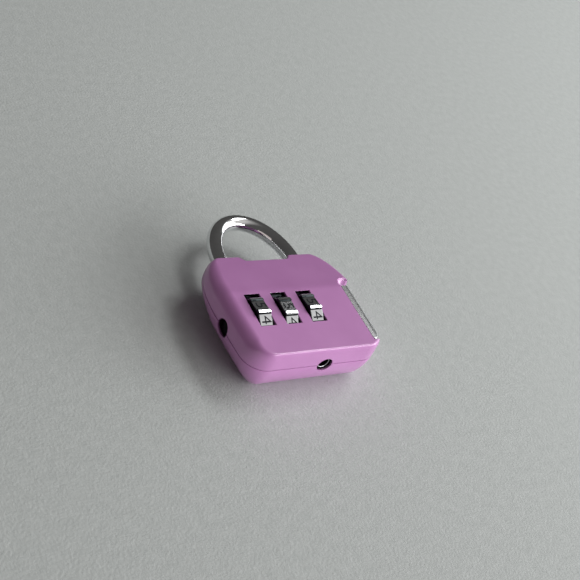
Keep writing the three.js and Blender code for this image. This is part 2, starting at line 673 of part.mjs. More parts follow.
add('detent_spring', surface(detentSpring()), steel);
add('bottom_pin', barY(BOTTOM_PIN.radius, BOTTOM_PIN.low, BOTTOM_PIN.high, BOTTOM_HOLE.x), steel);

RIVETS.forEach(({ x, y, seat }, i) => {
  const head = barZ(RIVET_HEAD_RADIUS, seat - RIVET_HEAD_HEIGHT, seat - 0.05, x, y);
  const shank = barZ(RIVET_RADIUS, seat - 0.3, RIVET_FRONT, x, y, 16);
  add(`shell_rivet_${i + 1}`, surface(solid(head).add(solid(shank))), steel);
});

// ---------------------------------------------------------------- place in the row frame

const shackleTop = ARCH_BASE_Y + ARCH_RISE + ROD_RADIUS;
group.position.set(0, -(BODY_BOTTOM + shackleTop) / 2, BACK_DEPTH);

export default group;
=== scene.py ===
# Looks of a three-dial luggage padlock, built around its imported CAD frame.
#
# Shapes are worked out in the lock frame, in millimetres: X runs across the body, Y from the bottom edge
# to the shackle, Z out of the front face. Its origin is where the body's centreline crosses the dial
# axis, on the parting plane. place() turns lock frame millimetres into row frame metres.

import json
import math

import bmesh
import bpy
from mathutils import Matrix, Vector
from mathutils.bvhtree import BVHTree


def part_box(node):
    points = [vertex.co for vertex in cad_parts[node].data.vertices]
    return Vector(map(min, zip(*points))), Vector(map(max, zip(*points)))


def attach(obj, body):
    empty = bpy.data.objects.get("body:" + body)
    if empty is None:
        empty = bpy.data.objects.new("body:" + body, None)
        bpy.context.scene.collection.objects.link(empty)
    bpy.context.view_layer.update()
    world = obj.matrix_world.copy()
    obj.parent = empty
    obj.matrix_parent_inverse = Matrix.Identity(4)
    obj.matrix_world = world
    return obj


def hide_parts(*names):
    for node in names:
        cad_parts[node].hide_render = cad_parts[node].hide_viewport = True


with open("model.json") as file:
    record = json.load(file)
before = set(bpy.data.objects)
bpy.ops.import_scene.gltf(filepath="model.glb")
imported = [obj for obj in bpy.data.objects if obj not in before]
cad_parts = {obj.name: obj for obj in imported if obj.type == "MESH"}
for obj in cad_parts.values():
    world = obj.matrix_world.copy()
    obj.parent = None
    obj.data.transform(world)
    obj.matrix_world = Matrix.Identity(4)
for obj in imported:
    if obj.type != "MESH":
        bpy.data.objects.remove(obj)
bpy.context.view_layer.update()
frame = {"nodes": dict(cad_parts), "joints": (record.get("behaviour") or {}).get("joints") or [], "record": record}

MM = 0.001
X, Y, Z = 0, 1, 2
JOINTS = {joint["name"]: joint for joint in frame["joints"]}
ORIGIN = Vector((0.0, *JOINTS["dial_2_turn"]["pos_m"][1:]))


def place(point):
    return ORIGIN + MM * Vector(point)


def in_lock_frame(vertex):
    return (vertex.co - ORIGIN) / MM


def span(node, axis):
    """Where a CAD node starts and ends along an axis of the lock frame."""
    low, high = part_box(node)
    return (low[axis] - ORIGIN[axis]) / MM, (high[axis] - ORIGIN[axis]) / MM


def middle(node, axis):
    return sum(span(node, axis)) / 2


# ---------------------------------------------------------------- sizes, in mm and degrees

# A point this near a face counts as on it
NEAR = 0.02

# Body outline, close to the CAD shells but drawn with many more points. A roll is how far a wall leans in
# and the power of its curve.
HALF_WIDTH = span("back_shell", X)[1]
BODY_BOTTOM, BODY_TOP = span("back_shell", Y)
FRONT_HEIGHT = span("front_shell", Z)[1]
BACK_DEPTH = -span("back_shell", Z)[0]
FRONT_TOP_HEIGHT = 2.7
BACK_TOP_DEPTH = 3.8
PARTING_GAP = 0.12
PARTING_CHAMFER = 0.09
CORNER_RADIUS = 4.9
CREASE_Y = 4.9
CREASE_BLEND = 0.7
CORNER_END = -5             # where the corner's arc ends, from +X
WALL_INSET = 0.5            # of the corner's arc, from the widest place
DIP_DEPTH = 1.3
DIP_HALF_WIDTH = 4.6
COLLAR_INNER = 6.4
COLLAR_OUTER = 11.0
FRONT_ROLL = {"left": (3.0, 2.25), "right": (1.5, 2.8), "bottom": (0.8, 6.0), "top": (0.6, 5.0)}
BACK_ROLL = {"left": (4.6, 1.5), "right": (3.4, 1.9), "bottom": (3.5, 2.0), "top": (0.9, 4.0)}
ROLL_STEPS = 26
ROLL_EASE = 2.4             # packs the steps together near the face
CORNER_BLEND = 1.2          # how quickly an end's roll turns into a side's round a corner
SLOT_REACH = 4.1            # just past the ends of the dial slots, from the dial axis
SLOT_EDGE = 0.14
LEVER_POCKET_EDGE = 0.12

# Dials, each with ten flats, ten ridges and ten clutch slots in its bore. Angles on a dial are measured
# from the middle of its nearest ridge, and a turn is where one ridge lies, from +Z towards the bottom edge.
DIAL_X = [middle(f"dial_{i}", X) for i in (1, 2, 3)]
DIAL_WIDTH = span("dial_1", X)[1] - span("dial_1", X)[0]
DIAL_TURN = (12.9, 21.0, 11.9)
DIAL_SECTOR = 36
DIAL_FLAT_RADIUS = 5.45
DIAL_RIDGE_RADIUS = 5.74
RIDGE_CROWN = 0.03
RIDGE_TOP = 3.8
RIDGE_FOOT = 4.2
# Band round each ridge's foot, in degrees from the ridge's middle, where the dial takes painted shade
SHADED_RIDGE_FOOT = (3.7, 6.3)
FLAT_APOTHEM = DIAL_FLAT_RADIUS * math.cos(math.radians(DIAL_SECTOR / 2 - RIDGE_FOOT))
BORE_RADIUS = 2.6
CLUTCH_SLOT_RADIUS = 3.1
CLUTCH_SLOT_REACH = 7
RIM_CHAMFER = 0.14
POCKET_WIDTH = 3.45
POCKET_RADIUS = 6.05

# Digits, each with its top to the right
DIGIT_BELOW_RIDGE = 4       # on the flat just below the ridge that the turn places
DIGIT_HEIGHT = 2.15
DIGIT_STRETCH = 1.15
DIGIT_SHIFT = 0.12
INLAY_LIFT = 0.004
INLAY_TOP = 0.02
INLAY_ROOT = -0.03

# Hollows inside the body, the same as in the CAD shells. Low, high, left, right, back and front are where
# one ends, along Y, X and Z.
CAM_BORE_RADIUS = 3.8
CAM_BORE_START = DIAL_X[0] - 3.25
SPINDLE_BORE_RADIUS = 1.3
SPINDLE_CLIP_X = 6.7
SPINDLE_CHAMBER = {"radius": 2.1, "left": 6.1, "right": 11.2}
RESET_HOLE_RADIUS = 1.87
RESET_HOLE_END = -13.4
DETENT_CHANNEL = {"low": -7.75, "high": -5.4, "half_depth": 1.8}
STOP_PIN_BORE = {"x": 10.5, "y": 13.3, "radius": 0.8, "back": -2.45, "front": 2.15}
BAR_CHANNEL_BACK = -3.35
BAR_CHANNEL_FRONT = -2.1
FINGER_LEFT = [x - 4.1 for x in DIAL_X]
BAR_STRIP = {"left": FINGER_LEFT[0] - 0.6, "right": 13.8, "low": 6.7, "high": 9.3}
BAR_RISER = {"left": -7.15, "right": -3.3, "low": 7.0, "high": 13.9}
BAR_NOSE = {"low": 12.2, "front": 0.9}
BAR_TAIL = {"left": 10.1, "right": 14.3, "low": 2.4, "high": 7.3}
LATCH_SPRING_BORE = {"radius": 1.35, "left": -4.6, "right": -0.4, "y": 11.2, "z": -2.75}
FINGER_CHANNEL = {"left": -0.3, "right": 2.1, "low": 2.8, "high": 7.0}     # left and right of FINGER_LEFT
BOTTOM_HOLE = {"x": 1.65, "radius": 1.7, "end": -7.6}

# Shackle
ROD_RADIUS = 1.7
LEG_X = span("shackle", X)[1] - ROD_RADIUS
ARCH_BASE = 16.4
ARCH_RISE = span("shackle", Y)[1] - ROD_RADIUS - ARCH_BASE
HEEL_END = span("shackle", Y)[0]
HEEL_SHOULDER = 6.5
HEEL_TIP_RADIUS = 1.05
HEEL_BORE_END = 2.7
HEEL_FLAT = {"low": 7.6, "high": 14.0, "depth": 0.95}
TOE_END = 11.5
TOE_NOTCH = {"low": 12.3, "high": 13.8, "depth": 0.9}
LEG_BORE_RADIUS = 2.0

# Release lever
LEVER_RIGHT = span("release_lever", X)[1]
LEVER_LOW, LEVER_HIGH = span("release_lever", Y)
LEVER_BACK, LEVER_FRONT = span("release_lever", Z)
LEVER_LEFT = LEVER_RIGHT - 2.65
LEVER_ROLL = 1.7
LEVER_EDGE = 0.16
LEVER_GAP = 0.3
LEVER_END_GAP = 0.4
LEVER_POCKET_FLOOR = LEVER_BACK - LEVER_GAP
LEVER_SCOOP = {"x": 14.3, "y": LEVER_HIGH + 0.2, "z": FRONT_HEIGHT + 0.2, "radius": 1.9}
LEVER_NOTCH = {"x": 16.0, "y": 5.6, "radius": 1.2}
FINGERTIP_ROOM = {"left": 12.4, "low": 4.0}
POCKET_RIM = {"left": 12.4, "right": 16.0, "low": -10.0, "back": 3.7}
ARM_FRONT = 0.1
ARM_POCKET_FRONT = 0.4
PIVOT_SEAT = {"radius": 0.65, "back": -3.0}
LEVER_PIVOT_BORE = {"radius": 0.7, "front": 2.6}
DRIVE_PIN_BORE = {"radius": 0.6, "front": -0.6}
PIVOT = [(a - b) / MM for a, b in zip(JOINTS["lever_swing"]["pos_m"], ORIGIN)]
DRIVE_PIN = [middle("lever_drive_pin", axis) for axis in (X, Y, Z)]

# Rivets and bottom pin
RIVET_NODES = [f"shell_rivet_{number}" for number in (1, 2, 3)]
RIVET_HEAD_HEIGHT = 0.5
RIVETS = [(middle(node, X), middle(node, Y), span(node, Z)[0] + RIVET_HEAD_HEIGHT) for node in RIVET_NODES]
RIVET_RADIUS = 0.7
RIVET_HEAD_RADIUS = 1.38
RIVET_SINK_RADIUS = 1.65
RIVET_BORE = {"radius": 0.95, "front": 1.85}
PIN_X = middle("bottom_pin", X)
PIN_RADIUS = 1.38
PIN_BORE_RADIUS = 1.12

# ---------------------------------------------------------------- mesh helpers


def mesh_object(name, points, faces):
    mesh = bpy.data.meshes.new(name)
    mesh.from_pydata([place(point) for point in points], [], faces)
    mesh.update()
    obj = bpy.data.objects.new(name, mesh)
    bpy.context.scene.collection.objects.link(obj)
    return obj


def skin(rings, ring_closed=False):
    """Points and faces of a skin over rings of equal length, capped at both ends or joined into a torus."""
    count = len(rings[0])
    points = [point for ring in rings for point in ring]
    faces = []
    for k in range(len(rings) if ring_closed else len(rings) - 1):
        a = k * count
        b = (k + 1) % len(rings) * count
        faces += [(a + i, a + (i + 1) % count, b + (i + 1) % count, b + i) for i in range(count)]
    if not ring_closed:
        last = (len(rings) - 1) * count
        faces.append(tuple(reversed(range(count))))
        faces.append(tuple(range(last, last + count)))
    return points, faces


def turned(name, axis, profile, a=0.0, b=0.0, sides=64):
    """A solid of revolution along one axis. The profile lists (radius, height), and a and b are its
    centre on the two other axes, in X, Y, Z order."""
    rings = []
    for radius, height in profile:
        ring = []
        for i in range(sides):
            angle = 2 * math.pi * i / sides
            u, v = radius * math.cos(angle), radius * math.sin(angle)
            point = {X: (height, a + u, b + v), Y: (a + v, height, b + u), Z: (a + u, b + v, height)}
            ring.append(point[axis])
        rings.append(ring)
    return mesh_object(name, *skin(rings))


# bar(), block() and ball() make the tools of boolean cuts


def bar(axis, radius, low, high, a=0.0, b=0.0, sides=64):
    return turned("cutter", axis, [(radius, low), (radius, high)], a, b, sides)


def block(low, high):
    rings = [
        [(low[0], low[1], z), (high[0], low[1], z), (high[0], high[1], z), (low[0], high[1], z)]
        for z in (low[2], high[2])
    ]
    return mesh_object("cutter", *skin(rings))


def ball(x, y, z, radius):
    steps = 24
    pole_radius = 0.004
    profile = []
    for k in range(steps + 1):
        angle = math.pi * k / steps
        profile.append((max(radius * math.sin(angle), pole_radius), z - radius * math.cos(angle)))
    return turned("cutter", Z, profile, x, y, 48)


def extruded(name, outline, low, high):
    return mesh_object(name, *skin([[(x, y, z) for x, y in outline] for z in (low, high)]))


def bake(obj):
    """Turns an object's modifiers into its mesh."""
    bpy.context.view_layer.update()
    graph = bpy.context.evaluated_depsgraph_get()
    mesh = bpy.data.meshes.new_from_object(obj.evaluated_get(graph))
    obj.modifiers.clear()
    obj.data = mesh


def store_depth(obj, depth_at):
    """Notes how deep each point lies in a hollow, as depth_at(x, y, z) says, which sets the painted shade of the
    Finish materials.
    """
    depth = obj.data.attributes.new("depth", "FLOAT", "POINT")
    for vertex in obj.data.vertices:
        depth.data[vertex.index].value = depth_at(*in_lock_frame(vertex))


def depth_below(shell):
    """A function for store_depth() that measures the distance to the shell's outer surface as it is now, which
    sets the painted shade in the shell's hollows.
    The room for a fingertip at the lever's upper end counts as outer surface."""
    points = [in_lock_frame(vertex) for vertex in shell.data.vertices]
    outer = [polygon.vertices for polygon in shell.data.polygons
             if max(abs(points[i].z) for i in polygon.vertices) > PARTING_GAP]
    surface = BVHTree.FromPolygons(points, outer)

    def depth_at(x, y, z):
        for_fingertip = x > FINGERTIP_ROOM["left"] and y > FINGERTIP_ROOM["low"]
        return 0.0 if for_fingertip else surface.find_nearest((x, y, z))[3]

    return depth_at


def combine(obj, others, operation):
    for other in others:
        modifier = obj.modifiers.new(operation.lower(), "BOOLEAN")
        modifier.solver = "MANIFOLD"
        modifier.operation = operation
        modifier.object = other
    bake(obj)


def discard(objects):
    for obj in objects:
        bpy.data.objects.remove(obj)


def round_edges(obj, wanted, width, segments=3):
    """Bevels the sharp edges whose two ends both pass the test wanted(x, y, z) in the lock frame."""
    mesh = bmesh.new()
    mesh.from_mesh(obj.data)
    sharp = math.radians(40)
    edges = [
        edge for edge in mesh.edges
        if len(edge.link_faces) == 2 and edge.calc_face_angle() > sharp
        and all(wanted(*in_lock_frame(vertex)) for vertex in edge.verts)
    ]
    bmesh.ops.bevel(mesh, geom=edges, offset=width * MM, segments=segments, profile=0.5, affect="EDGES",
                    clamp_overlap=False)
    mesh.to_mesh(obj.data)
    mesh.free()


def smooth(obj, angle=32):
    obj.data.shade_smooth()
    obj.data.set_sharp_from_angle(angle=math.radians(angle))
    weighted = obj.modifiers.new("face weighted normals", "WEIGHTED_NORMAL")
    weighted.keep_sharp = True
    weighted.weight = 60


def bezier(a, b, c, d, steps):
    """Points along a cubic curve from a to d, with handles b and c."""
    points = []
    for k in range(steps + 1):
        t = k / steps
        s = 1 - t
        weights = (s ** 3, 3 * s * s * t, 3 * s * t * t, t ** 3)
        points.append(tuple(sum(w * p[i] for w, p in zip(weights, (a, b, c, d))) for i in (0, 1)))
    return points


def quadratic(a, b, c, steps):
    """Points along a quadratic curve from a to c, with the handle b."""
    first = [(a[i] + 2 * b[i]) / 3 for i in (0, 1)]
    second = [(c[i] + 2 * b[i]) / 3 for i in (0, 1)]
    return bezier(a, first, second, c, steps)


# ---------------------------------------------------------------- body shells


def right_outline():
    """The right half of the outline on the parting plane, which of its points is the first on a crease
    row, and how many crease rows there are."""
    corner_x = HALF_WIDTH - WALL_INSET - CORNER_RADIUS
    corner_y = BODY_BOTTOM + CORNER_RADIUS
    corner_end = math.radians(CORNER_END)
    steps = 28
    corner = []
    for k in range(steps + 1):
        angle = -math.pi / 2 + (corner_end + math.pi / 2) * k / steps
        x = corner_x + CORNER_RADIUS * math.cos(angle)
        y = corner_y + CORNER_RADIUS * math.sin(angle)
        corner.append((x, y))
    wall_x, wall_y = corner[-1]
    widest = (HALF_WIDTH, CREASE_Y)
    collar = (COLLAR_OUTER, BODY_TOP)
    wall = bezier((wall_x, wall_y), (wall_x + 0.32, wall_y + 3.7), (HALF_WIDTH, CREASE_Y - 3.5), widest, 200)
    shoulder = bezier(widest, (HALF_WIDTH, CREASE_Y + 5.7), (COLLAR_OUTER + 3.3, BODY_TOP), collar, 240)

    def at_height(curve, y):
        return min(curve, key=lambda point: abs(point[1] - y))[0], y

    crease_rows = [CREASE_Y + CREASE_BLEND * (k / 3 - 1) for k in range(7)]
    low_rows = [wall_y + (crease_rows[0] - wall_y) * k / 14 for k in range(1, 14)]
    side = [at_height(wall if y < CREASE_Y else shoulder, y) for y in low_rows + crease_rows]
    upper = [point for point in shoulder[::7] if point[1] > crease_rows[-1] + 0.25]
    dip_middle = (COLLAR_INNER + DIP_HALF_WIDTH) / 2
    dip_y = BODY_TOP - DIP_DEPTH
    dip = bezier((COLLAR_INNER, BODY_TOP), (dip_middle, BODY_TOP), (dip_middle, dip_y),
                 (DIP_HALF_WIDTH, dip_y), 16)
    points = corner + side + upper + [shoulder[-1]] + dip
    return points, len(corner) + len(low_rows), len(crease_rows)


def lean(corner, roll, t):
    """How far a wall leans in at level t, from 0 on the parting plane to 1 at the face."""
    end_reach, end_power = roll["bottom" if corner["y"] < 0 else "top"]
    side_reach, side_power = roll["right" if corner["x"] > 0 else "left"]
    reach = end_reach + (side_reach - end_reach) * corner["side"]
    power = end_power + (side_power - end_power) * corner["side"]
    return reach * (1 - (1 - t ** power) ** (1 / power))


def body_half(name, direction, height, top_height, roll):
    """One half of the body, before it is hollowed. Its rings go from the parting plane to the face, and
    direction is 1 for the front and -1 for the back."""
    right, crease_start, crease_count = right_outline()
    outline = right + [(-x, y) for x, y in reversed(right)]
    count = len(outline)
    corners = []
    for i, (x, y) in enumerate(outline):
        before, after = outline[i - 1], outline[(i + 1) % count]
        dx, dy = after[0] - before[0], after[1] - before[1]
        length = math.hypot(dx, dy)
        nx, ny = dy / length, -dx / length
        side = abs(nx) ** CORNER_BLEND if abs(x) > COLLAR_OUTER - 1 else 0.0
        corners.append({"x": x, "y": y, "nx": nx, "ny": ny, "side": side})

    slope = (height - top_height) / (BODY_TOP - CREASE_Y)

    def height_at(y):
        over = y - CREASE_Y
        if over <= -CREASE_BLEND:
            return height
        if over >= CREASE_BLEND:
            return height - slope * over
        return height - slope * (over + CREASE_BLEND) ** 2 / (4 * CREASE_BLEND)

    start = PARTING_GAP / 2
    chamfer_end = PARTING_CHAMFER / height
    levels = [(0.0, PARTING_CHAMFER), (0.3 * chamfer_end, 0.3 * PARTING_CHAMFER)]
    for k in range(ROLL_STEPS + 1):
        levels.append((chamfer_end + (1 - chamfer_end) * (1 - (1 - k / ROLL_STEPS) ** ROLL_EASE), 0.0))
    rings = []
    for t, chamfer in levels:
        ring = []
        for corner in corners:
            inset = lean(corner, roll, t) + chamfer
            x = corner["x"] - corner["nx"] * inset
            y = corner["y"] - corner["ny"] * inset
            ring.append((x, y, direction * (start + t * (height_at(y) - start))))
        rings.append(ring)
    points, faces = skin(rings)

    def mirror(i):
        return count - 1 - i

    # The face is cut into strips along the crease rows, in place of its single cap
    top = faces.pop()[0]
    first, last = crease_start, crease_start + crease_count - 1
    below = list(range(0, first + 1)) + [mirror(i) for i in range(first, -1, -1)]
    above = list(range(last, mirror(last) + 1))
    faces.append(tuple(top + i for i in below))
    faces.append(tuple(top + i for i in above))
    for i in range(first, last):
        faces.append(tuple(top + k for k in (i, i + 1, mirror(i + 1), mirror(i))))
    if direction < 0:
        faces = [tuple(reversed(face)) for face in faces]
    return mesh_object(name, points, faces)


# Ends of the dial pockets, and places clear of the body
POCKETS_LEFT = DIAL_X[0] - POCKET_WIDTH / 2
POCKETS_RIGHT = DIAL_X[2] + POCKET_WIDTH / 2
OUTSIDE = HALF_WIDTH + 2
IN_FRONT = FRONT_HEIGHT + 1
ABOVE = BODY_TOP + 1


def dial_hollows():
    pockets = [bar(X, POCKET_RADIUS, x - POCKET_WIDTH / 2, x + POCKET_WIDTH / 2, sides=96) for x in DIAL_X]
    low, high, depth = DETENT_CHANNEL["low"], DETENT_CHANNEL["high"], DETENT_CHANNEL["half_depth"]
    return pockets + [
        bar(X, CAM_BORE_RADIUS, CAM_BORE_START, POCKETS_RIGHT - 0.1),
        bar(X, SPINDLE_BORE_RADIUS, RESET_HOLE_END - 0.1, SPINDLE_CLIP_X),
        bar(X, RESET_HOLE_RADIUS, -OUTSIDE, RESET_HOLE_END),
        bar(X, SPINDLE_CHAMBER["radius"], SPINDLE_CHAMBER["left"], SPINDLE_CHAMBER["right"]),
        block((POCKETS_LEFT, low, -depth), (POCKETS_RIGHT, high, depth)),
    ]


def shackle_hollows():
    pin = STOP_PIN_BORE
    return [
        bar(Y, LEG_BORE_RADIUS, TOE_END - 0.5, ABOVE, -LEG_X),
        bar(Y, LEG_BORE_RADIUS, HEEL_BORE_END, ABOVE, LEG_X),
        bar(Z, pin["radius"], pin["back"], pin["front"], pin["x"], pin["y"], 32),
    ]


def lever_hollows():
    """The lever's pocket with its scoop and notch, and the room for its arm and pivot."""
    return [
        block((LEVER_LEFT - LEVER_GAP, LEVER_LOW - LEVER_END_GAP, LEVER_POCKET_FLOOR),
              (OUTSIDE, LEVER_HIGH + LEVER_END_GAP, IN_FRONT)),
        ball(**LEVER_SCOOP),
        bar(Z, LEVER_NOTCH["radius"], LEVER_POCKET_FLOOR, IN_FRONT, LEVER_NOTCH["x"], LEVER_NOTCH["y"]),
        block((DRIVE_PIN[X] - 1.1, DRIVE_PIN[Y] - 1.3, BAR_CHANNEL_FRONT),
              (LEVER_LEFT - 0.2, DRIVE_PIN[Y] + 1.3, ARM_POCKET_FRONT)),
        bar(Z, PIVOT_SEAT["radius"], PIVOT_SEAT["back"], 0.0, PIVOT[X], PIVOT[Y], 32),
    ]


def lock_bar_hollows():
    """Channels for the bar's strip, riser, nose and tail, and the bore of its spring."""
    back, front = BAR_CHANNEL_BACK, BAR_CHANNEL_FRONT
    strip, riser, tail, spring = BAR_STRIP, BAR_RISER, BAR_TAIL, LATCH_SPRING_BORE
    return [
        block((strip["left"], strip["low"], back), (strip["right"], strip["high"], front)),
        block((riser["left"], riser["low"], back), (riser["right"], riser["high"], front)),
        block((riser["left"], BAR_NOSE["low"], back), (riser["right"], riser["high"], BAR_NOSE["front"])),
        block((tail["left"], tail["low"], back), (tail["right"], tail["high"], front)),
        bar(X, spring["radius"], spring["left"], spring["right"], spring["y"], spring["z"], 32),
    ]


def finger_hollows():
    """A channel for each of the lock bar's fingers."""
    channel = FINGER_CHANNEL
    return [
        block((x + channel["left"], channel["low"], BAR_CHANNEL_BACK),
              (x + channel["right"], channel["high"], BAR_CHANNEL_FRONT))
        for x in FINGER_LEFT
    ]


def bottom_hole():
    return bar(Y, BOTTOM_HOLE["radius"], BODY_BOTTOM - 1, BOTTOM_HOLE["end"], BOTTOM_HOLE["x"])


def rivet_hollows():
    cutters = []
    for x, y, seat in RIVETS:
        cutters.append(bar(Z, RIVET_SINK_RADIUS, -BACK_DEPTH - 1, seat, x, y))
        cutters.append(bar(Z, RIVET_BORE["radius"], -BACK_DEPTH, RIVET_BORE["front"], x, y, 32))
    return cutters


def on_dial_slot(x, y, z):
    return abs(z - FRONT_HEIGHT) < NEAR and abs(y) < SLOT_REACH and x < POCKETS_RIGHT + 0.5


def on_lever_pocket(x, y, z):
    rim = POCKET_RIM
    return z > rim["back"] and rim["left"] < x < rim["right"] and y > rim["low"]


hollows = [
    *dial_hollows(),
    *shackle_hollows(),
    *lever_hollows(),
    *lock_bar_hollows(),
    bottom_hole(),
    *finger_hollows(),
    *rivet_hollows(),
]
front_shell = body_half("front_shell_enamel", 1, FRONT_HEIGHT, FRONT_TOP_HEIGHT, FRONT_ROLL)
back_shell = body_half("back_shell_enamel", -1, BACK_DEPTH, BACK_TOP_DEPTH, BACK_ROLL)
for shell in (front_shell, back_shell):
    depth_in_shell = depth_below(shell)
    combine(shell, hollows, "DIFFERENCE")
    store_depth(shell, depth_in_shell)
round_edges(front_shell, on_dial_slot, SLOT_EDGE)
round_edges(front_shell, on_lever_pocket, LEVER_POCKET_EDGE, 2)
for shell in (front_shell, back_shell):
    smooth(shell)
discard(hollows)

# ---------------------------------------------------------------- shackle


def shackle_rings():
    """Rings along the rod, from the toe's rounded end over the arch to the heel's thinner tip."""
    toe = [(TOE_END, 0.75 * ROD_RADIUS), (TOE_END + 0.12, 0.92 * ROD_RADIUS), (TOE_END + 0.4, ROD_RADIUS)]
    heel = [
        (HEEL_SHOULDER + 0.25, ROD_RADIUS),
        (HEEL_SHOULDER, 0.87 * ROD_RADIUS),
        (HEEL_SHOULDER - 0.02, HEEL_TIP_RADIUS),
        (HEEL_END + 0.2, HEEL_TIP_RADIUS),
        (HEEL_END, 0.8 * HEEL_TIP_RADIUS),
    ]
    line = [(-LEG_X, y, 0.0, 1.0, radius) for y, radius in toe]
    steps = 120
    for k in range(steps + 1):
        angle = math.pi * (1 - k / steps)
        x, y = LEG_X * math.cos(angle), ARCH_BASE + ARCH_RISE * math.sin(angle)
        tangent = Vector((LEG_X * math.sin(angle), -ARCH_RISE * math.cos(angle))).normalized()
        line.append((x, y, *tangent, ROD_RADIUS))
    line += [(LEG_X, y, 0.0, -1.0, radius) for y, radius in heel]
    sides = 56
    rings = []
    for x, y, dx, dy, radius in line:
        ring = []
        for i in range(sides):
            angle = 2 * math.pi * i / sides
            u, v = radius * math.cos(angle), radius * math.sin(angle)
            ring.append((x - dy * u, y + dx * u, v))
        rings.append(ring)
    return rings


def relief(leg_x, low, high, depth):
    """Cuts into the right side of a leg."""
    edge = leg_x + ROD_RADIUS
    beyond = 3
    return block((edge - depth, low, -beyond), (edge + 1, high, beyond))


shackle = mesh_object("shackle_rod", *skin(shackle_rings()))
reliefs = [relief(-LEG_X, **TOE_NOTCH), relief(LEG_X, **HEEL_FLAT)]
combine(shackle, reliefs, "DIFFERENCE")
discard(reliefs)
smooth(shackle)

# ---------------------------------------------------------------- dials and digits


def dial_rings(x_middle, turn):
    """Rings of a dial with steep-sided ridges, chamfered rims and ten clutch slots in its bore."""
    half_sector = DIAL_SECTOR / 2
    ridge = (0.0, 1.7, 3.5, RIDGE_TOP, RIDGE_FOOT)
    flat = (5.0, 6.0, 6.6, 7.4, 9.0, 12.0, 15.0)
    before_ridge = [-step for step in reversed(ridge[1:] + flat)]
    steps = [1 - half_sector, *before_ridge, *ridge, *flat]
    outer, inner = [], []
    for sector in range(360 // DIAL_SECTOR):
        for step in steps:
            away = abs(step)
            if away >= RIDGE_FOOT:
                radius = FLAT_APOTHEM / math.cos(math.radians(half_sector - away))
            else:
                radius = DIAL_RIDGE_RADIUS - RIDGE_CROWN * (away / RIDGE_TOP) ** 2
            angle = math.radians(sector * DIAL_SECTOR + step + turn) - math.pi / 2
            outer.append((radius, angle))
            inner.append((CLUTCH_SLOT_RADIUS if away < CLUTCH_SLOT_REACH else BORE_RADIUS, angle))

    def ring(shape, x, inset):
        return [(x, -(r - inset) * math.sin(a + math.pi / 2), (r - inset) * math.cos(a + math.pi / 2))
                for r, a in shape]

    # A rim lists (place across the dial, how far the outline is drawn in)
    half = DIAL_WIDTH / 2
    left_rim = [(-half, RIM_CHAMFER), (-half + 0.04, 0.05), (-half + RIM_CHAMFER, 0.0)]
    right_rim = [(-x, inset) for x, inset in reversed(left_rim)]
    rings = [ring(outer, x_middle + x, inset) for x, inset in left_rim + right_rim]
    rings += [ring(inner, x_middle + x, 0.0) for x in (half, 0.0, -half)]
    return rings


def digit_shape(digit):
    """The mesh of one digit, lying flat, and the corners of its box."""
    text = bpy.data.curves.new("digit", "FONT")
    text.body = str(digit)
    text.align_x = "CENTER"
    text.align_y = "CENTER"
    text.size = 1.0
    text.offset = -0.004        # keeps the counter of the 4 open
    text.extrude = 0.02
    holder = bpy.data.objects.new("digit", text)
    bpy.context.scene.collection.objects.link(holder)
    bpy.context.view_layer.update()
    shape = bpy.data.meshes.new_from_object(holder.evaluated_get(bpy.context.evaluated_depsgraph_get()))
    bpy.data.objects.remove(holder)
    low = Vector([min(vertex.co[i] for vertex in shape.vertices) for i in range(3)])
    high = Vector([max(vertex.co[i] for vertex in shape.vertices) for i in range(3)])
    return shape, low, high


def digit_mesh(number, x_middle, turn):
    """The ten digits of one dial, as thin inlays that stand just proud of its flats."""
    half_sector = DIAL_SECTOR / 2
    mesh = bmesh.new()
    for digit in range(10):
        shape, low, high = digit_shape(digit)
        scale = DIGIT_HEIGHT / (high.y - low.y)
        around = math.radians(turn + half_sector + (DIGIT_BELOW_RIDGE - digit) * DIAL_SECTOR)
        up = Vector((0, math.cos(around), math.sin(around)))
        out = Vector((0, -math.sin(around), math.cos(around)))
        centre = Vector((x_middle, 0, 0)) + out * (FLAT_APOTHEM + INLAY_LIFT)
        for vertex in shape.vertices:
            local = vertex.co - (low + high) / 2
            across = Vector((local.y * scale + DIGIT_SHIFT, 0, 0))
            point = centre - up * local.x * scale * DIGIT_STRETCH + across
            point += out * (INLAY_TOP if local.z > 0 else INLAY_ROOT)
            vertex.co = place(point)
        mesh.from_mesh(shape)
        bpy.data.meshes.remove(shape)
    inlays = bpy.data.meshes.new(f"digits_{number}")
    mesh.to_mesh(inlays)
    mesh.free()
    obj = bpy.data.objects.new(f"digits_{number}", inlays)
    bpy.context.scene.collection.objects.link(obj)
    return obj


def grime_on_dial(x_middle, turn):
    """A function for store_depth() that marks a dial's sides and a band at the foot of each ridge, for painted
    shade.
    """
    half_sector = DIAL_SECTOR / 2

    def depth_at(x, y, z):
        around = math.degrees(math.atan2(-y, z)) - turn
        away = abs((around + half_sector) % DIAL_SECTOR - half_sector)
        on_side = abs(x - x_middle) > DIAL_WIDTH / 2 - NEAR
        in_shaded_foot = SHADED_RIDGE_FOOT[0] < away < SHADED_RIDGE_FOOT[1]
        return 1.0 if on_side or in_shaded_foot else 0.0

    return depth_at


dials, digits = [], []
for i, x in enumerate(DIAL_X):
    dial = mesh_object(f"dial_wheel_{i + 1}", *skin(dial_rings(x, DIAL_TURN[i]), ring_closed=True))
    store_depth(dial, grime_on_dial(x, DIAL_TURN[i]))
    smooth(dial, angle=20)
    dials.append(dial)
    digits.append(digit_mesh(i + 1, x, DIAL_TURN[i]))

# ---------------------------------------------------------------- release lever


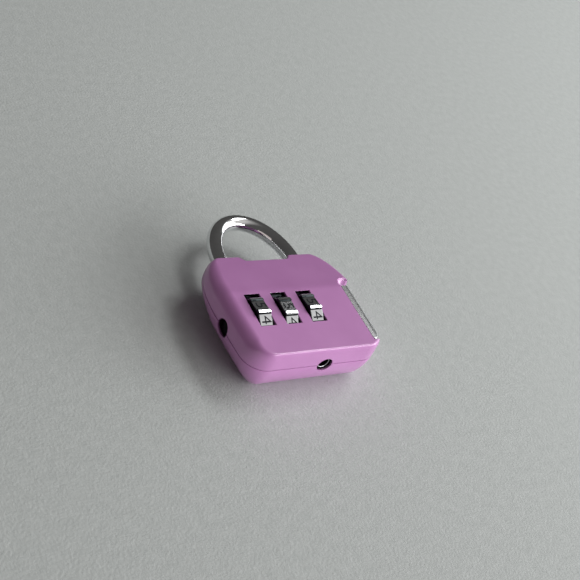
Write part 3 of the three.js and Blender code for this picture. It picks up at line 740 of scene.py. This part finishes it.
def lever_outline():
    """The lever's outline seen from the front, anticlockwise from its lower left corner."""
    left, right, low, high = LEVER_LEFT, LEVER_RIGHT, LEVER_LOW, LEVER_HIGH
    bend = (right - 0.6, low + 2.4)
    top_right = (right, high - 0.6)
    outline = quadratic((left, low + 0.8), (left, low), (left + 0.5, low), 8)[:-1]
    outline += quadratic((right - 1.9, low), (right - 1.0, low + 0.6), bend, 14)
    outline += bezier(bend, (right - 0.3, -5.0), (right, -1.0), top_right, 24)[1:]
    outline += quadratic(top_right, (right, high), (right - 0.6, high), 8)[1:]
    outline += quadratic((left + 0.5, high), (left, high), (left, high - 0.5), 8)
    return outline


def lever_edge_cutter():
    """Everything outside a large cylinder along the lever's outer front edge."""
    flat_end = LEVER_RIGHT - LEVER_ROLL
    centre = LEVER_FRONT - LEVER_ROLL
    section = [(LEVER_RIGHT + 1, centre), (LEVER_RIGHT + 1, LEVER_FRONT + 1), (flat_end, LEVER_FRONT + 1)]
    steps = 20
    for k in range(steps + 1):
        angle = math.pi / 2 * (1 - k / steps)
        section.append((flat_end + LEVER_ROLL * math.cos(angle), centre + LEVER_ROLL * math.sin(angle)))
    rings = [[(x, y, z) for x, z in section] for y in (LEVER_HIGH + 2, LEVER_LOW - 2)]
    return mesh_object("cutter", *skin(rings))


def on_lever_front(x, y, z):
    return z > ARM_FRONT + 0.1


lever = extruded("lever_bar", lever_outline(), LEVER_BACK, LEVER_FRONT)
arm = block((DRIVE_PIN[X] - 0.9, DRIVE_PIN[Y] - 1.0, LEVER_BACK),
            (LEVER_LEFT + 0.3, DRIVE_PIN[Y] + 1.0, ARM_FRONT))
lever_cutters = [
    lever_edge_cutter(),
    bar(Z, LEVER_PIVOT_BORE["radius"], LEVER_BACK - 1, LEVER_PIVOT_BORE["front"], PIVOT[X], PIVOT[Y], 32),
    bar(Z, DRIVE_PIN_BORE["radius"], LEVER_BACK - 1, DRIVE_PIN_BORE["front"], DRIVE_PIN[X], DRIVE_PIN[Y], 32),
]
combine(lever, [arm], "UNION")
combine(lever, lever_cutters, "DIFFERENCE")
round_edges(lever, on_lever_front, LEVER_EDGE)
smooth(lever)
discard([arm] + lever_cutters)

# ---------------------------------------------------------------- rivets and bottom pin


def rivet_profile(seat, shank_end):
    """A domed head below the seat and a plain shank."""
    head = RIVET_HEAD_RADIUS
    return [
        (0.05, seat - RIVET_HEAD_HEIGHT),
        (0.6, seat - 0.47),
        (1.05, seat - 0.38),
        (1.3, seat - 0.24),
        (head, seat - 0.12),
        (head, seat - 0.07),
        (RIVET_RADIUS, seat - 0.06),
        (RIVET_RADIUS, shank_end - 0.15),
        (0.55, shank_end),
    ]


def pin_profile(low, high):
    """A bore that narrows slightly inwards, a rounded rim and a plain outside."""
    return [
        (0.05, low + 2.2),
        (0.95, low + 2.0),
        (1.02, low + 0.5),
        (1.09, low + 0.2),
        (1.16, low + 0.04),
        (1.23, low),
        (1.34, low + 0.1),
        (PIN_RADIUS, low + 0.3),
        (PIN_RADIUS, high),
    ]


rivets = []
for number, (node, (x, y, seat)) in enumerate(zip(RIVET_NODES, RIVETS), 1):
    rivet = turned(f"rivet_{number}", Z, rivet_profile(seat, span(node, Z)[1]), x, y)
    smooth(rivet)
    rivets.append(rivet)


# Painted shade: marks the bottom pin's bore to go near black
def grime_in_pin(x, y, z):
    return 1.0 if math.hypot(x - PIN_X, z) < PIN_BORE_RADIUS else 0.0


bottom_pin = turned("bottom_pin_head", Y, pin_profile(*span("bottom_pin", Y)), PIN_X, 0.0)
store_depth(bottom_pin, grime_in_pin)
smooth(bottom_pin)

# ---------------------------------------------------------------- materials


class Finish:
    """A material with a Principled shader, and textures in millimetres on the object's own coordinates.
    Settings are the shader's sockets that have one value all over, and drive() links the others."""

    def __init__(self, name, **settings):
        self.material = bpy.data.materials.new(name)
        self.material.use_nodes = True
        self.tree = self.material.node_tree
        self.shader = self.tree.nodes["Principled BSDF"]
        for socket, value in settings.items():
            self.shader.inputs[socket.replace("_", " ")].default_value = value
        place_in = self.tree.nodes.new("ShaderNodeTexCoord")
        scale = self.tree.nodes.new("ShaderNodeMapping")
        scale.inputs["Scale"].default_value = (1 / MM, 1 / MM, 1 / MM)
        self.tree.links.new(place_in.outputs["Object"], scale.inputs["Vector"])
        self.coordinates = scale.outputs["Vector"]
        self.height = None

    def noise(self, per_mm, detail, stretch=None):
        texture = self.tree.nodes.new("ShaderNodeTexNoise")
        texture.inputs["Scale"].default_value = per_mm
        texture.inputs["Detail"].default_value = detail
        source = self.coordinates
        if stretch:
            squeeze = self.tree.nodes.new("ShaderNodeMapping")
            squeeze.inputs["Scale"].default_value = stretch
            self.tree.links.new(source, squeeze.inputs["Vector"])
            source = squeeze.outputs["Vector"]
        self.tree.links.new(source, texture.inputs["Vector"])
        return texture.outputs["Fac"]

    def ranged(self, value, low, high, start=0.3, end=0.7):
        node = self.tree.nodes.new("ShaderNodeMapRange")
        for socket, number in (("From Min", start), ("From Max", end), ("To Min", low), ("To Max", high)):
            node.inputs[socket].default_value = number
        self.tree.links.new(value, node.inputs["Value"])
        return node.outputs["Result"]

    def ramp(self, value, *stops):
        node = self.tree.nodes.new("ShaderNodeValToRGB")
        elements = node.color_ramp.elements
        while len(elements) < len(stops):
            elements.new(0.5)
        for element, (position, colour) in zip(elements, stops):
            element.position = position
            element.color = (*colour, 1.0)
        self.tree.links.new(value, node.inputs["Fac"])
        return node.outputs["Color"]

    def recess(self, colour, dark, start, end):
        """Paints shade: blends a colour into a dark one as the stored depth goes from start to end, in
        millimetres.
        """
        depth = self.tree.nodes.new("ShaderNodeAttribute")
        depth.attribute_name = "depth"
        blend = self.tree.nodes.new("ShaderNodeMix")
        blend.data_type = "RGBA"
        blend.inputs["B"].default_value = (*dark, 1.0)
        self.tree.links.new(self.ranged(depth.outputs["Fac"], 0.0, 1.0, start, end), blend.inputs["Factor"])
        self.tree.links.new(colour, blend.inputs["A"])
        return blend.outputs["Result"]

    def drive(self, socket, value):
        self.tree.links.new(value, self.shader.inputs[socket])

    def bump(self, value, depth_mm):
        node = self.tree.nodes.new("ShaderNodeBump")
        node.inputs["Distance"].default_value = depth_mm * MM
        node.inputs["Strength"].default_value = 1.0
        self.tree.links.new(value, node.inputs["Height"])
        if self.height:
            self.tree.links.new(self.height, node.inputs["Normal"])
        self.height = node.outputs["Normal"]
        self.tree.links.new(self.height, self.shader.inputs["Normal"])


def enamel():
    """Clear-coated paint with faint clouds and orange peel, and painted shade that turns it near black deep in its
    hollows.
    """
    finish = Finish("pink enamel", IOR=1.5, Specular_IOR_Level=0.35, Coat_Weight=0.9, Coat_Roughness=0.14)
    clouds = finish.ramp(
        finish.noise(0.12, 3),
        (0.3, (0.53, 0.225, 0.51)),
        (0.5, (0.555, 0.24, 0.535)),
        (0.7, (0.58, 0.255, 0.56)),
    )
    # painted shade: near black from 0.05 to 0.5 mm below the outer surface, in the hollows
    finish.drive("Base Color", finish.recess(clouds, (0.010, 0.007, 0.009), 0.05, 0.5))
    finish.drive("Roughness", finish.ranged(finish.noise(0.9, 4), 0.34, 0.44))
    finish.bump(finish.noise(1.6, 1.5), 0.006)
    finish.bump(finish.noise(9, 2), 0.0012)
    return finish.material


def chrome(name, smoothest, roughest):
    """Bright plate with handling marks that run along Y."""
    finish = Finish(name, Metallic=1.0)
    finish.drive("Base Color", finish.ramp(
        finish.noise(0.3, 3), (0.35, (0.70, 0.71, 0.72)), (0.65, (0.78, 0.79, 0.80))))
    finish.drive("Roughness", finish.ranged(finish.noise(2.5, 6), smoothest, roughest))
    finish.bump(finish.noise(14, 3, (1, 0.12, 1)), 0.0004)
    finish.bump(finish.noise(0.8, 1), 0.002)
    return finish.material


def dial_plate():
    """Plated metal with painted shade on a dial's sides and at the feet of its ridges, and fine marks that run
    along X.
    """
    finish = Finish("dial plate", Metallic=1.0)
    plate = finish.ramp(finish.noise(0.8, 3), (0.35, (0.66, 0.68, 0.71)), (0.65, (0.75, 0.77, 0.80)))
    # painted shade: near black where store_depth() marked a dial's sides and ridge feet
    finish.drive("Base Color", finish.recess(plate, (0.022, 0.026, 0.028), 0.0, 0.5))
    finish.drive("Roughness", finish.ranged(finish.noise(3, 5), 0.11, 0.19))
    finish.bump(finish.noise(10, 2, (0.15, 1, 1)), 0.0002)
    return finish.material


def ink():
    """The digits' dull black filling."""
    finish = Finish("digit enamel", Roughness=0.6, Specular_IOR_Level=0.15)
    finish.drive("Base Color", finish.ramp(
        finish.noise(5, 2), (0.4, (0.008, 0.009, 0.012)), (0.7, (0.02, 0.022, 0.028))))
    finish.bump(finish.noise(12, 2), 0.002)
    return finish.material


def plain_metal(name, dark, light, rough=(0.28, 0.45), grain=(0.2, 1, 1)):
    """Plain metal between two tones, with a grain, and painted shade, near black, where a depth is stored."""
    finish = Finish(name, Metallic=1.0)
    metal = finish.ramp(finish.noise(1.2, 4), (0.35, dark), (0.7, light))
    # painted shade: near black where a depth is stored, as in the bottom pin's bore
    finish.drive("Base Color", finish.recess(metal, (0.012, 0.012, 0.013), 0.0, 0.5))
    finish.drive("Roughness", finish.ranged(finish.noise(4, 4), *rough))
    finish.bump(finish.noise(12, 3, grain), 0.002)
    return finish.material


FINISHES = {
    "pink_paint": enamel(),
    "chrome": chrome("chrome plate", 0.05, 0.13),
    "dial_silver": dial_plate(),
    "brass": plain_metal("turned brass", (0.50, 0.34, 0.12), (0.64, 0.47, 0.20)),
    "steel": plain_metal("zinc plated steel", (0.42, 0.43, 0.45), (0.58, 0.59, 0.61)),
    # Painted shade: near black steel, so the spindle's end in the reset hole shows as shade
    "black_steel": plain_metal(
        "near black steel", (0.008, 0.008, 0.010), (0.02, 0.02, 0.024), rough=(0.5, 0.65)),
    "spring_steel": plain_metal(
        "spring steel", (0.30, 0.31, 0.33), (0.46, 0.47, 0.49), rough=(0.22, 0.36), grain=(1, 1, 1)),
}
INK = ink()
SATIN_CHROME = chrome("satin chrome", 0.26, 0.30)


def paint(obj, material):
    obj.data.materials.clear()
    obj.data.materials.append(material)


def stand_in(obj, body, node, slot):
    """A detailed piece takes the place of one CAD node."""
    paint(obj, FINISHES[slot])
    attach(obj, body)
    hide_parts(node)


for entry in frame["record"]["subparts"]:
    for material_slot in frame["nodes"][entry["node"]].material_slots:
        material_slot.material = FINISHES[entry["material_slot"]]

stand_in(front_shell, "body", "front_shell", "pink_paint")
stand_in(back_shell, "body", "back_shell", "pink_paint")
stand_in(shackle, "shackle", "shackle", "chrome")
stand_in(lever, "lever", "release_lever", "chrome")
paint(lever, SATIN_CHROME)
stand_in(bottom_pin, "body", "bottom_pin", "steel")
for node, rivet in zip(RIVET_NODES, rivets):
    stand_in(rivet, "body", node, "steel")
for number, (dial, inlay) in enumerate(zip(dials, digits), 1):
    stand_in(dial, f"dial_{number}", f"dial_{number}", "dial_silver")
    paint(inlay, INK)
    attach(inlay, f"dial_{number}")

# ---------------------------------------------------------------- floor, light and camera

CAMERA_AZIMUTH = 45.9
CAMERA_ELEVATION = 37.9
CAMERA_ROLL = 28.5
CAMERA_DISTANCE = 0.2133
CAMERA_LENS = 68.3
AIM = place((-2.7, 2.1, 7.15))

FLOOR_HALF = 2.0
BRIGHT_SIDE = (0.6, -0.75, 0.25)
WORLD_DARK = 0.07
WORLD_BRIGHT = 0.10
WORLD_COLOUR = (1.0, 0.97, 0.94)
GLOW = (0.57, -0.40, 0.72)
GLOW_EDGE = 0.656           # cosines of the angles where the glow starts and where it is full
GLOW_CORE = 0.99
GLOW_STRENGTH = 0.62

# The softboxes: direction that each shines from, distance, size (across, upwards), power and colour
SOFTBOXES = {
    "key": ((0.57, 0.15, 0.80), 0.6, (0.27, 0.13), 1.0, (1.0, 1.0, 1.0)),
    "window": ((0.95, -0.05, 0.30), 0.6, (0.5, 0.5), 1.6, (0.97, 1.0, 1.0)),
    "front fill": ((0.66, -0.72, 0.21), 0.8, (1.2, 0.4), 8.2, (1.0, 0.99, 0.99)),
    "left fill": ((-0.88, -0.40, 0.10), 0.6, (0.4, 0.4), 0.3, (1.0, 0.86, 0.82)),
}


def make_floor():
    half = FLOOR_HALF
    corners = [(-half, -half, 0), (half, -half, 0), (half, half, 0), (-half, half, 0)]
    mesh = bpy.data.meshes.new("floor")
    mesh.from_pydata(corners, [], [(0, 1, 2, 3)])
    floor = bpy.data.objects.new("floor", mesh)
    bpy.context.scene.collection.objects.link(floor)
    finish = Finish("pale floor", Roughness=0.75)
    finish.drive("Base Color", finish.ramp(
        finish.noise(0.55, 4), (0.3, (0.46, 0.485, 0.475)), (0.7, (0.51, 0.535, 0.525))))
    finish.bump(finish.noise(1.8, 4), 0.07)
    paint(floor, finish.material)


def area_light(name, direction, distance, size, power, colour):
    """A softbox that faces the lock from the given direction."""
    light = bpy.data.lights.new(name, "AREA")
    light.shape = "RECTANGLE"
    light.size, light.size_y = size
    light.energy = power
    light.color = colour
    lamp = bpy.data.objects.new(name, light)
    bpy.context.scene.collection.objects.link(lamp)
    towards = Vector(direction).normalized()
    lamp.location = AIM + distance * towards
    lamp.rotation_euler = towards.to_track_quat("Z", "Y").to_euler()


def make_world():
    """A dim room, a little brighter on one side, with a soft glow beside the key light."""
    world = bpy.data.worlds.new("studio")
    bpy.context.scene.world = world
    world.use_nodes = True
    tree = world.node_tree
    direction = tree.nodes.new("ShaderNodeTexCoord").outputs["Generated"]

    def lobe(axis, start, end, low, high, ease):
        """A strength from low to high, as the cosine of the angle to an axis goes from start to end."""
        facing = tree.nodes.new("ShaderNodeVectorMath")
        facing.operation = "DOT_PRODUCT"
        facing.inputs[1].default_value = Vector(axis).normalized()
        tree.links.new(direction, facing.inputs[0])
        ramp = tree.nodes.new("ShaderNodeMapRange")
        ramp.interpolation_type = ease
        for socket, number in (("From Min", start), ("From Max", end), ("To Min", low), ("To Max", high)):
            ramp.inputs[socket].default_value = number
        tree.links.new(facing.outputs["Value"], ramp.inputs["Value"])
        return ramp.outputs["Result"]

    total = tree.nodes.new("ShaderNodeMath")
    total.operation = "ADD"
    tree.links.new(lobe(BRIGHT_SIDE, -0.6, 1.0, WORLD_DARK, WORLD_BRIGHT, "LINEAR"), total.inputs[0])
    tree.links.new(lobe(GLOW, GLOW_EDGE, GLOW_CORE, 0.0, GLOW_STRENGTH, "SMOOTHSTEP"), total.inputs[1])
    background = tree.nodes["Background"]
    background.inputs["Color"].default_value = (*WORLD_COLOUR, 1)
    tree.links.new(total.outputs["Value"], background.inputs["Strength"])


def make_camera():
    camera = bpy.data.objects.new("camera", bpy.data.cameras.new("camera"))
    bpy.context.scene.collection.objects.link(camera)
    camera.data.lens = CAMERA_LENS
    camera.data.clip_start = 0.01
    azimuth = math.radians(CAMERA_AZIMUTH)
    elevation = math.radians(CAMERA_ELEVATION)
    roll = math.radians(CAMERA_ROLL)
    ahead = Vector((math.sin(azimuth), math.cos(azimuth), 0))
    forward = ahead * math.cos(elevation) - Vector((0, 0, math.sin(elevation)))
    level = forward.cross(Vector((0, 0, 1))).normalized()
    upright = level.cross(forward)
    right = level * math.cos(roll) + upright * math.sin(roll)
    up = upright * math.cos(roll) - level * math.sin(roll)
    axes = Matrix((right, up, -forward)).transposed().to_4x4()
    axes.translation = AIM - forward * CAMERA_DISTANCE
    camera.matrix_world = axes
    bpy.context.scene.camera = camera


make_floor()
make_world()
for name, settings in SOFTBOXES.items():
    area_light(name, *settings)
make_camera()
bpy.context.scene.view_settings.view_transform = "Standard"
